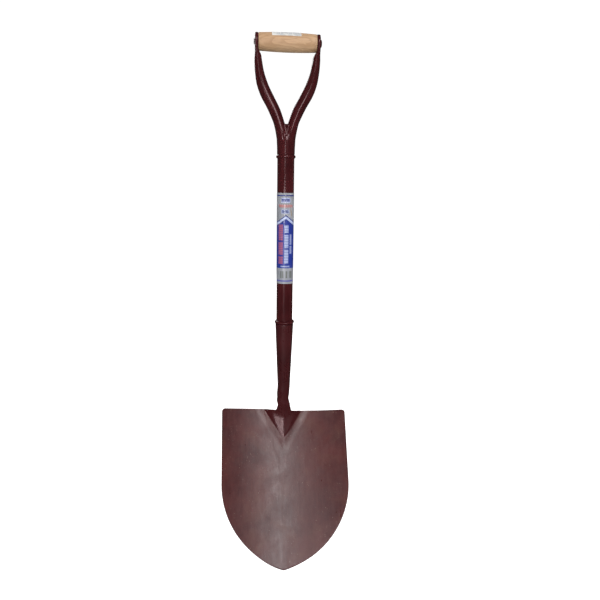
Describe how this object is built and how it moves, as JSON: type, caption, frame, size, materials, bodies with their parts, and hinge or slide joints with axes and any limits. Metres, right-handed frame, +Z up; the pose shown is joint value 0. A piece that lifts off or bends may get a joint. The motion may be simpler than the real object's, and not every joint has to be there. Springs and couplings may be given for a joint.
{
  "type": "garden spade",
  "caption": "All-steel round-mouth digging shovel with a tubular shaft, a split-tube D handle and a turned wood grip held by a through rivet.",
  "frame": {"origin": "bottom centre of the tool's box, the tool standing upright on its point; the shaft axis is vertical at x = 0, y = +0.0621", "axes": "+Z up along the shaft towards the grip, +X to the right of somebody facing the hollow side of the blade, -Y the way the hollow side faces"},
  "size_m": [0.2472, 0.1624, 0.9744],
  "materials": {
    "coated_steel": "semi-gloss oxblood powder coat over tube, weld and fittings",
    "blade_coat": "semi-gloss oxblood powder coat over hammer-marked pressed sheet",
    "ash_wood": "sanded, lightly waxed",
    "printed_label": "printed film, satin",
    "paper_sticker": "coated paper"
  },
  "bodies": {
    "root": {"blade": "blade_coat", "socket_seam_weld": "coated_steel", "socket_collar": "coated_steel", "shaft_tube": "coated_steel", "yoke_collar": "coated_steel", "yoke": "coated_steel", "crotch_weld_front": "coated_steel", "crotch_weld_back": "coated_steel", "grip": "ash_wood", "grip_rivet": "coated_steel", "shaft_label": "printed_label", "grip_label": "paper_sticker"}
  },
  "joints": []
}
